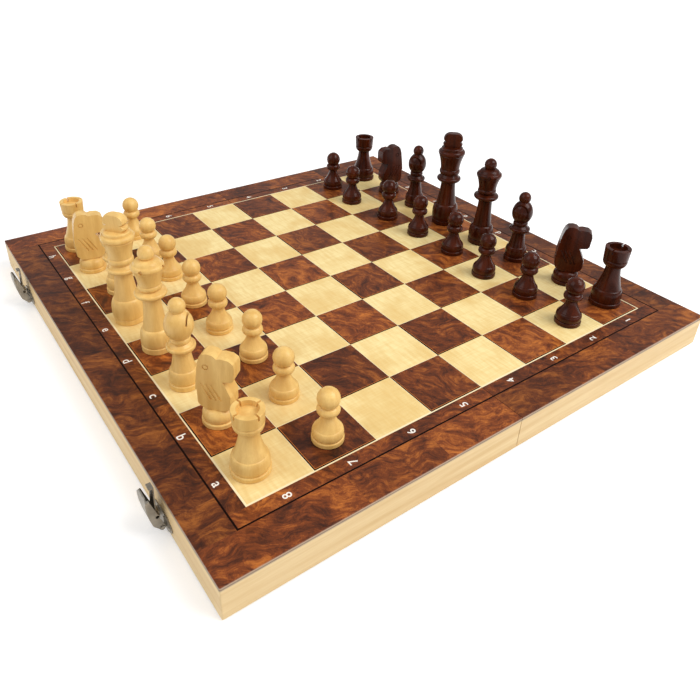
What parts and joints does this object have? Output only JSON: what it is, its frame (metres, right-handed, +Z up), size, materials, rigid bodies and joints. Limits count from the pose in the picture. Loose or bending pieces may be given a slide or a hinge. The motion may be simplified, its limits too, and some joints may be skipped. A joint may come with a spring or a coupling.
{
  "type": "games compendium box",
  "caption": "Folding wooden games box opened flat as a chess board, with hinged halves, two toggle latches and turned chess men that lift off.",
  "frame": {"origin": "middle of the folding seam, in the plane of the rims that face down while the box is open", "axes": "+X from the left half to the right half across the seam, +Y from the front to the back along the seam, +Z up"},
  "size_m": [0.4019, 0.39, 0.1072],
  "materials": {
    "playing_panels": "veneered and lacquered, inlaid in light maple and dark walnut",
    "walls": "satin lacquer",
    "white_men": "satin lacquer",
    "black_men": "glossy stain",
    "latches": "nickelled sheet",
    "hinges": "satin",
    "screws": "satin"
  },
  "bodies": {
    "left_half": {"left_panel": "playing_panels", "left_outer_wall": "walls", "left_inner_wall": "walls", "left_front_wall": "walls", "left_back_wall": "walls", "front_hinge_left_leaf": "hinges", "back_hinge_left_leaf": "hinges", "hinge_pins": "hinges", "front_latch_base": "latches", "back_latch_base": "latches", "lever_rivets": "latches", "left_half_screws": "screws"},
    "right_half": {"right_panel": "playing_panels", "right_outer_wall": "walls", "right_inner_wall": "walls", "right_front_wall": "walls", "right_back_wall": "walls", "front_hinge_right_leaf": "hinges", "back_hinge_right_leaf": "hinges", "strikes": "latches", "right_half_screws": "screws"},
    "front_lever": {"front_latch_lever": "latches", "front_claw_pin": "latches"},
    "front_claw": {"front_latch_claw": "latches"},
    "back_lever": {"back_latch_lever": "latches", "back_claw_pin": "latches"},
    "back_claw": {"back_latch_claw": "latches"},
    "white_rook_a": {"white_rook_a": "white_men"},
    "white_knight_b": {"white_knight_b": "white_men"},
    "white_bishop_c": {"white_bishop_c": "white_men"},
    "white_queen": {"white_queen": "white_men"},
    "white_king": {"white_king": "white_men"},
    "white_bishop_f": {"white_bishop_f": "white_men"},
    "white_knight_g": {"white_knight_g": "white_men"},
    "white_rook_h": {"white_rook_h": "white_men"},
    "white_pawn_a": {"white_pawn_a": "white_men"},
    "white_pawn_b": {"white_pawn_b": "white_men"},
    "white_pawn_c": {"white_pawn_c": "white_men"},
    "white_pawn_d": {"white_pawn_d": "white_men"},
    "white_pawn_e": {"white_pawn_e": "white_men"},
    "white_pawn_f": {"white_pawn_f": "white_men"},
    "white_pawn_g": {"white_pawn_g": "white_men"},
    "white_pawn_h": {"white_pawn_h": "white_men"},
    "black_pawn_a": {"black_pawn_a": "black_men"},
    "black_pawn_b": {"black_pawn_b": "black_men"},
    "black_pawn_c": {"black_pawn_c": "black_men"},
    "black_pawn_d": {"black_pawn_d": "black_men"},
    "black_pawn_e": {"black_pawn_e": "black_men"},
    "black_pawn_f": {"black_pawn_f": "black_men"},
    "black_pawn_g": {"black_pawn_g": "black_men"},
    "black_pawn_h": {"black_pawn_h": "black_men"},
    "black_rook_a": {"black_rook_a": "black_men"},
    "black_knight_b": {"black_knight_b": "black_men"},
    "black_bishop_c": {"black_bishop_c": "black_men"},
    "black_queen": {"black_queen": "black_men"},
    "black_king": {"black_king": "black_men"},
    "black_bishop_f": {"black_bishop_f": "black_men"},
    "black_knight_g": {"black_knight_g": "black_men"},
    "black_rook_h": {"black_rook_h": "black_men"}
  },
  "joints": [
    {"name": "fold", "type": "hinge", "parent": "left_half", "child": "right_half", "pos_m": [0, 0, -0.00005], "axis": [0, 1, 0], "range_deg": [0, 180]},
    {"name": "front_lever_turn", "type": "hinge", "parent": "left_half", "child": "front_lever", "pos_m": [-0.1976, -0.13, 0.004], "axis": [0, 1, 0], "range_deg": [-120, 8]},
    {"name": "front_claw_turn", "type": "hinge", "parent": "front_lever", "child": "front_claw", "pos_m": [-0.19937, -0.13, 0.01287], "axis": [0, -1, 0], "range_deg": [-12, 12]},
    {"name": "back_lever_turn", "type": "hinge", "parent": "left_half", "child": "back_lever", "pos_m": [-0.1976, 0.126, 0.004], "axis": [0, 1, 0], "range_deg": [-120, 8]},
    {"name": "back_claw_turn", "type": "hinge", "parent": "back_lever", "child": "back_claw", "pos_m": [-0.19937, 0.126, 0.01287], "axis": [0, -1, 0], "range_deg": [-12, 12]},
    {"name": "white_rook_a_lift", "type": "slide", "parent": "left_half", "child": "white_rook_a", "axis": [0, 0, 1], "range_m": [0, 0.1]},
    {"name": "white_knight_b_lift", "type": "slide", "parent": "left_half", "child": "white_knight_b", "axis": [0, 0, 1], "range_m": [0, 0.1]},
    {"name": "white_bishop_c_lift", "type": "slide", "parent": "left_half", "child": "white_bishop_c", "axis": [0, 0, 1], "range_m": [0, 0.1]},
    {"name": "white_queen_lift", "type": "slide", "parent": "left_half", "child": "white_queen", "axis": [0, 0, 1], "range_m": [0, 0.1]},
    {"name": "white_king_lift", "type": "slide", "parent": "left_half", "child": "white_king", "axis": [0, 0, 1], "range_m": [0, 0.1]},
    {"name": "white_bishop_f_lift", "type": "slide", "parent": "left_half", "child": "white_bishop_f", "axis": [0, 0, 1], "range_m": [0, 0.1]},
    {"name": "white_knight_g_lift", "type": "slide", "parent": "left_half", "child": "white_knight_g", "axis": [0, 0, 1], "range_m": [0, 0.1]},
    {"name": "white_rook_h_lift", "type": "slide", "parent": "left_half", "child": "white_rook_h", "axis": [0, 0, 1], "range_m": [0, 0.1]},
    {"name": "white_pawn_a_lift", "type": "slide", "parent": "left_half", "child": "white_pawn_a", "axis": [0, 0, 1], "range_m": [0, 0.1]},
    {"name": "white_pawn_b_lift", "type": "slide", "parent": "left_half", "child": "white_pawn_b", "axis": [0, 0, 1], "range_m": [0, 0.1]},
    {"name": "white_pawn_c_lift", "type": "slide", "parent": "left_half", "child": "white_pawn_c", "axis": [0, 0, 1], "range_m": [0, 0.1]},
    {"name": "white_pawn_d_lift", "type": "slide", "parent": "left_half", "child": "white_pawn_d", "axis": [0, 0, 1], "range_m": [0, 0.1]},
    {"name": "white_pawn_e_lift", "type": "slide", "parent": "left_half", "child": "white_pawn_e", "axis": [0, 0, 1], "range_m": [0, 0.1]},
    {"name": "white_pawn_f_lift", "type": "slide", "parent": "left_half", "child": "white_pawn_f", "axis": [0, 0, 1], "range_m": [0, 0.1]},
    {"name": "white_pawn_g_lift", "type": "slide", "parent": "left_half", "child": "white_pawn_g", "axis": [0, 0, 1], "range_m": [0, 0.1]},
    {"name": "white_pawn_h_lift", "type": "slide", "parent": "left_half", "child": "white_pawn_h", "axis": [0, 0, 1], "range_m": [0, 0.1]},
    {"name": "black_pawn_a_lift", "type": "slide", "parent": "right_half", "child": "black_pawn_a", "axis": [0, 0, 1], "range_m": [0, 0.1]},
    {"name": "black_pawn_b_lift", "type": "slide", "parent": "right_half", "child": "black_pawn_b", "axis": [0, 0, 1], "range_m": [0, 0.1]},
    {"name": "black_pawn_c_lift", "type": "slide", "parent": "right_half", "child": "black_pawn_c", "axis": [0, 0, 1], "range_m": [0, 0.1]},
    {"name": "black_pawn_d_lift", "type": "slide", "parent": "right_half", "child": "black_pawn_d", "axis": [0, 0, 1], "range_m": [0, 0.1]},
    {"name": "black_pawn_e_lift", "type": "slide", "parent": "right_half", "child": "black_pawn_e", "axis": [0, 0, 1], "range_m": [0, 0.1]},
    {"name": "black_pawn_f_lift", "type": "slide", "parent": "right_half", "child": "black_pawn_f", "axis": [0, 0, 1], "range_m": [0, 0.1]},
    {"name": "black_pawn_g_lift", "type": "slide", "parent": "right_half", "child": "black_pawn_g", "axis": [0, 0, 1], "range_m": [0, 0.1]},
    {"name": "black_pawn_h_lift", "type": "slide", "parent": "right_half", "child": "black_pawn_h", "axis": [0, 0, 1], "range_m": [0, 0.1]},
    {"name": "black_rook_a_lift", "type": "slide", "parent": "right_half", "child": "black_rook_a", "axis": [0, 0, 1], "range_m": [0, 0.1]},
    {"name": "black_knight_b_lift", "type": "slide", "parent": "right_half", "child": "black_knight_b", "axis": [0, 0, 1], "range_m": [0, 0.1]},
    {"name": "black_bishop_c_lift", "type": "slide", "parent": "right_half", "child": "black_bishop_c", "axis": [0, 0, 1], "range_m": [0, 0.1]},
    {"name": "black_queen_lift", "type": "slide", "parent": "right_half", "child": "black_queen", "axis": [0, 0, 1], "range_m": [0, 0.1]},
    {"name": "black_king_lift", "type": "slide", "parent": "right_half", "child": "black_king", "axis": [0, 0, 1], "range_m": [0, 0.1]},
    {"name": "black_bishop_f_lift", "type": "slide", "parent": "right_half", "child": "black_bishop_f", "axis": [0, 0, 1], "range_m": [0, 0.1]},
    {"name": "black_knight_g_lift", "type": "slide", "parent": "right_half", "child": "black_knight_g", "axis": [0, 0, 1], "range_m": [0, 0.1]},
    {"name": "black_rook_h_lift", "type": "slide", "parent": "right_half", "child": "black_rook_h", "axis": [0, 0, 1], "range_m": [0, 0.1]}
  ]
}
